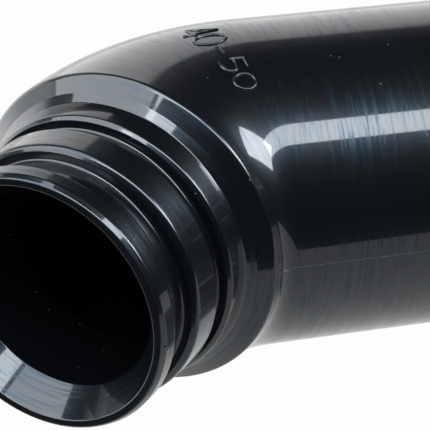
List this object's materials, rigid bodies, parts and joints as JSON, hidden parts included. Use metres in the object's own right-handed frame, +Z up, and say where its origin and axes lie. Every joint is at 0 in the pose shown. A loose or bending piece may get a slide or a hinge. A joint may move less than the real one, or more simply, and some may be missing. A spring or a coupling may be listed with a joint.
{
  "type": "p trap",
  "caption": "Adjustable tubular drain trap: threaded inlet union, telescoping inlet tube, U-bend with cleanout, swivelling elbow, and a 45 degree outlet bend with a grooved spigot.",
  "frame": {"origin": "centre of the inlet washer's upper face, where the sink waste seats", "axes": "+Z up along the inlet tube, towards the sink; the trap arm runs level along -X; the outlet spigot points 45 degrees from -X towards -Y"},
  "size_m": [0.2993, 0.0733, 0.2317],
  "materials": {
    "abs_black": "gloss moulded ABS",
    "nut_black": "satin moulded plastic with grip ribs",
    "ring_white": "natural low-friction plastic",
    "seal_rubber": "matt black rubber"
  },
  "bodies": {
    "tailpiece": {"inlet_tube": "abs_black", "inlet_washer": "seal_rubber"},
    "union_ring": {"inlet_union_ring": "ring_white"},
    "union_nut": {"inlet_union_nut": "nut_black"},
    "inlet_seal": {"inlet_cone_seal": "seal_rubber"},
    "u_bend": {"u_bend": "abs_black", "crown_washer": "seal_rubber"},
    "inlet_ring": {"inlet_slip_ring": "ring_white"},
    "inlet_nut": {"inlet_compression_nut": "nut_black"},
    "cleanout_seal": {"cleanout_washer": "seal_rubber"},
    "cleanout": {"cleanout_plug": "nut_black"},
    "crown_ring": {"crown_slip_ring": "ring_white"},
    "crown_nut": {"crown_union_nut": "nut_black"},
    "elbow": {"trap_elbow": "abs_black"},
    "outlet_seal": {"outlet_cone_seal": "seal_rubber"},
    "outlet_bend": {"outlet_bend": "abs_black"},
    "outlet_ring": {"outlet_slip_ring": "ring_white"},
    "outlet_nut": {"outlet_compression_nut": "nut_black"}
  },
  "joints": [
    {"name": "union_nut_drop", "type": "slide", "parent": "tailpiece", "child": "union_ring", "axis": [0, 0, -1], "range_m": [0, 0.015]},
    {"name": "union_nut_spin", "type": "hinge", "parent": "union_ring", "child": "union_nut", "pos_m": [0, 0, -0.01], "axis": [0, 0, 1], "continuous": true},
    {"name": "inlet_height", "type": "slide", "parent": "tailpiece", "child": "inlet_seal", "axis": [0, 0, 1], "range_m": [-0.015, 0.015]},
    {"name": "u_bend_swivel", "type": "hinge", "parent": "inlet_seal", "child": "u_bend", "pos_m": [0, 0, -0.064], "axis": [0, 0, 1], "continuous": true},
    {"name": "inlet_nut_back_off", "type": "slide", "parent": "u_bend", "child": "inlet_ring", "axis": [0, 0, 1], "range_m": [0, 0.0061]},
    {"name": "inlet_nut_turn", "type": "hinge", "parent": "inlet_ring", "child": "inlet_nut", "pos_m": [0, 0, -0.064], "axis": [0, 0, 1], "range_deg": [0, 720]},
    {"name": "crown_nut_back_off", "type": "slide", "parent": "u_bend", "child": "crown_ring", "axis": [0, 0, 1], "range_m": [0, 0.0061]},
    {"name": "crown_nut_turn", "type": "hinge", "parent": "crown_ring", "child": "crown_nut", "pos_m": [-0.08, 0, -0.104], "axis": [0, 0, 1], "range_deg": [0, 720]},
    {"name": "cleanout_back_off", "type": "slide", "parent": "u_bend", "child": "cleanout_seal", "axis": [0, 0, -1], "range_m": [0, 0.0121]},
    {"name": "cleanout_turn", "type": "hinge", "parent": "cleanout_seal", "child": "cleanout", "pos_m": [-0.04, 0, -0.203], "axis": [0, 0, -1], "range_deg": [0, 1440]},
    {"name": "elbow_swivel", "type": "hinge", "parent": "u_bend", "child": "elbow", "pos_m": [-0.08, 0, -0.1], "axis": [0, 0, 1], "range_deg": [-110, 110]},
    {"name": "arm_reach", "type": "slide", "parent": "elbow", "child": "outlet_seal", "axis": [-1, 0, 0], "range_m": [-0.012, 0.015]},
    {"name": "outlet_swivel", "type": "hinge", "parent": "outlet_seal", "child": "outlet_bend", "pos_m": [-0.14, 0, -0.054], "axis": [1, 0, 0], "continuous": true},
    {"name": "outlet_nut_back_off", "type": "slide", "parent": "outlet_bend", "child": "outlet_ring", "axis": [1, 0, 0], "range_m": [0, 0.0061]},
    {"name": "outlet_nut_turn", "type": "hinge", "parent": "outlet_ring", "child": "outlet_nut", "pos_m": [-0.14, 0, -0.054], "axis": [1, 0, 0], "range_deg": [0, 720]}
  ],
  "couplings": [
    {"joint": "inlet_nut_back_off", "follows": "inlet_nut_turn", "m_per_rad": 0.00047746},
    {"joint": "crown_nut_back_off", "follows": "crown_nut_turn", "m_per_rad": 0.00047746},
    {"joint": "cleanout_back_off", "follows": "cleanout_turn", "m_per_rad": 0.00047746},
    {"joint": "outlet_nut_back_off", "follows": "outlet_nut_turn", "m_per_rad": 0.00047746}
  ]
}
